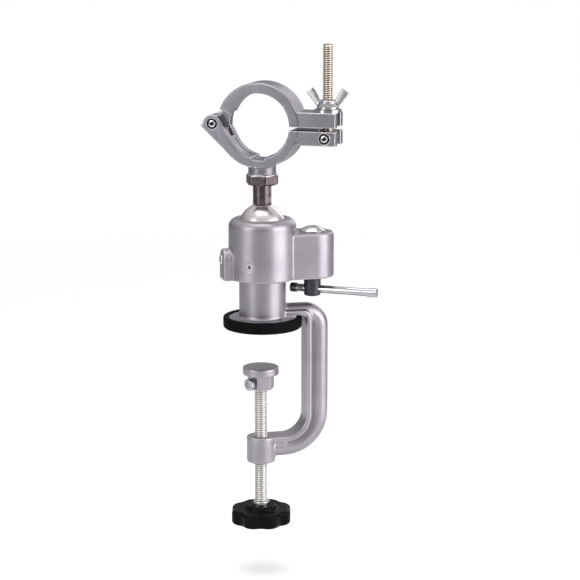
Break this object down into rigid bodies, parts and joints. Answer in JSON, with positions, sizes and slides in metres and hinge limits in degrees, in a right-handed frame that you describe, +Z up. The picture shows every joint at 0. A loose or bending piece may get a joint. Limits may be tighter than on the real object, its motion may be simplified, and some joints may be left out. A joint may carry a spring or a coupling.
{
  "type": "swivel vise",
  "caption": "Table clamp with a ball joint that carries a hinged ring, closed by a wing nut, for holding a tool by its round collar.",
  "frame": {"origin": "centre of the rubber boot's underside, which rests on the table, on the post's axis", "axes": "+Z up along the post, +X toward the C-frame's arm, -Y toward the viewer"},
  "size_m": [0.1012, 0.0566, 0.2943],
  "materials": {
    "cast_aluminium": "satin sand-cast",
    "machined_ring": "satin",
    "bright_steel": "polished",
    "zinc_steel": "zinc plated",
    "yellow_zinc": "pale yellow zinc plated",
    "dark_steel": "dark oiled",
    "black_steel": "black oxide",
    "spring_steel": "plain",
    "black_rubber": "matte",
    "black_plastic": "fine grain",
    "seat_plastic": "plain"
  },
  "bodies": {
    "base": {"base_frame": "cast_aluminium", "rubber_boot": "black_rubber", "clamp_cap": "cast_aluminium", "fulcrum_screw": "zinc_steel", "set_screw": "zinc_steel", "carriage_bolt": "zinc_steel", "seat_spring": "spring_steel"},
    "seat": {"ball_seat": "seat_plastic"},
    "ball": {"ball_stud": "bright_steel", "jam_nut": "dark_steel"},
    "ring": {"lower_jaw": "machined_ring", "hinge_pin": "bright_steel", "eyebolt_pin": "bright_steel"},
    "jaw": {"upper_jaw": "machined_ring"},
    "swing_bolt": {"eye_bolt": "yellow_zinc"},
    "washer": {"jaw_washer": "zinc_steel"},
    "wing": {"wing_nut": "bright_steel"},
    "tee_ring": {"tee_washer": "zinc_steel"},
    "tee": {"tee_nut": "black_steel"},
    "bar": {"tommy_bar": "bright_steel", "bar_stop": "dark_steel"},
    "pad": {"pressure_pad": "cast_aluminium", "pad_screw": "zinc_steel"},
    "screw": {"clamp_screw": "zinc_steel", "knob": "black_plastic", "knob_insert": "zinc_steel"}
  },
  "joints": [
    {"name": "seat_swivel", "type": "hinge", "parent": "base", "child": "seat", "pos_m": [0, 0, 0.0608], "axis": [0, 0, 1], "continuous": true},
    {"name": "ball_tilt", "type": "hinge", "parent": "seat", "child": "ball", "pos_m": [0, 0, 0.0608], "axis": [0, 1, 0], "range_deg": [-40, 40]},
    {"name": "ring_turn", "type": "hinge", "parent": "ball", "child": "ring", "pos_m": [0, 0, 0.0608], "axis": [0, 0, 1], "continuous": true},
    {"name": "jaw_open", "type": "hinge", "parent": "ring", "child": "jaw", "pos_m": [-0.0246, 0.0142, 0.1226], "axis": [-0.5, -0.866, 0], "range_deg": [0, 16.6]},
    {"name": "bolt_swing", "type": "hinge", "parent": "ring", "child": "swing_bolt", "pos_m": [0.03481, -0.0201, 0.1158], "axis": [0.5, 0.866, 0], "range_deg": [0, 30.2]},
    {"name": "washer_lift", "type": "slide", "parent": "swing_bolt", "child": "washer", "axis": [0, 0, 1], "range_m": [0, 0.027]},
    {"name": "wing_nut_turn", "type": "hinge", "parent": "washer", "child": "wing", "pos_m": [0.03481, -0.0201, 0.1324], "axis": [0, 0, 1], "range_deg": [0, 7655]},
    {"name": "tee_washer_slide", "type": "slide", "parent": "base", "child": "tee_ring", "axis": [0, 0, 1], "range_m": [-0.000388, 0]},
    {"name": "tee_nut_turn", "type": "hinge", "parent": "tee_ring", "child": "tee", "pos_m": [0.0308, 0, 0.022], "axis": [0, 0, 1], "range_deg": [-110.2, 0]},
    {"name": "bar_slide", "type": "slide", "parent": "tee", "child": "bar", "axis": [0.829, -0.5592, 0], "range_m": [-0.03, 0.0045]},
    {"name": "pad_slide", "type": "slide", "parent": "base", "child": "pad", "axis": [0, 0, 1], "range_m": [-0.0295, 0.0242]},
    {"name": "screw_turn", "type": "hinge", "parent": "pad", "child": "screw", "pos_m": [-0.0012, 0, -0.1], "axis": [0, 0, 1], "range_deg": [-7530, 6180]}
  ],
  "couplings": [
    {"joint": "wing_nut_turn", "follows": "washer_lift", "rad_per_m": 4947.4},
    {"joint": "jaw_open", "follows": "washer_lift", "rad_per_m": 10.666},
    {"joint": "bolt_swing", "follows": "washer_lift", "rad_per_m": 19.393},
    {"joint": "tee_nut_turn", "follows": "tee_washer_slide", "rad_per_m": 4947.4},
    {"joint": "screw_turn", "follows": "pad_slide", "rad_per_m": 4452.7}
  ]
}
